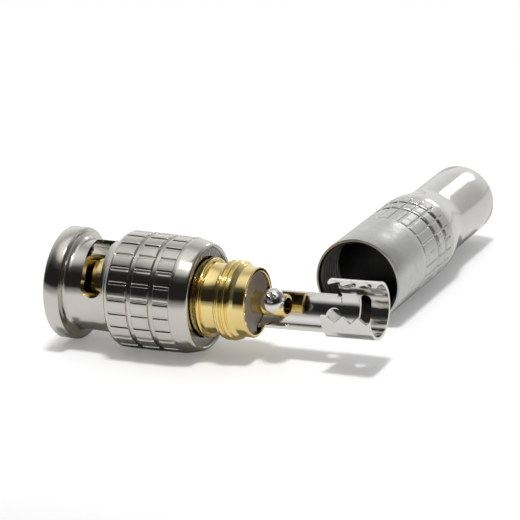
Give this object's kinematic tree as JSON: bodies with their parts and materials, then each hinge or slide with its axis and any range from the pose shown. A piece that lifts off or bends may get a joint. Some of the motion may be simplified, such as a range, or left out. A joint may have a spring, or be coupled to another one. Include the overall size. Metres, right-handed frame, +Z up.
{
  "type": "bayonet coaxial cable plug",
  "caption": "Coaxial bayonet cable plug with knurled coupling sleeve, screw terminal and cable clamp, its threaded rear barrel lying unscrewed beside it.",
  "frame": {"origin": "on the plug's axis, at the tip of the outer contact; the surface that it lies on is at z = -7.52 mm", "axes": "+X along the plug from the mating end to the cable end, +Y towards the barrel that lies beside it, +Z up"},
  "size_m": [0.0434, 0.0612, 0.015],
  "materials": {
    "bright_nickel": "bright nickel plate",
    "satin_nickel": "satin nickel plate",
    "gold_plate": "bright gold plate",
    "clamp_tin": "bright tin plate on sheet",
    "ring_steel": "plain grey washer steel",
    "spring_steel": "spring steel",
    "screw_steel": "polished steel",
    "insulator_brown": "grey-brown moulded insulator",
    "insulator_white": "white fluoropolymer",
    "seal_rubber": "silicone seal"
  },
  "bodies": {
    "plug": {"plug_body": "gold_plate", "outer_contact": "gold_plate", "front_insulator": "insulator_white", "rear_insulator": "insulator_brown", "centre_contact": "gold_plate", "cable_clamp": "clamp_tin", "gasket": "seal_rubber", "wave_washer": "spring_steel", "rear_barrel": "satin_nickel"},
    "retainer": {"retaining_ring": "ring_steel"},
    "sleeve": {"coupling_sleeve": "bright_nickel"},
    "screw": {"terminal_screw": "screw_steel"}
  },
  "joints": [
    {"name": "sleeve_slide", "type": "slide", "parent": "plug", "child": "retainer", "axis": [-1, 0, 0], "range_m": [0, 0.001], "stiffness_N_per_m": 500},
    {"name": "sleeve_spin", "type": "hinge", "parent": "retainer", "child": "sleeve", "pos_m": [0, 0, 0], "axis": [1, 0, 0], "continuous": true},
    {"name": "screw_turn", "type": "hinge", "parent": "plug", "child": "screw", "pos_m": [0.02952, 0, 0], "axis": [0, -0.7771, 0.6293], "range_deg": [0, 1080]}
  ]
}
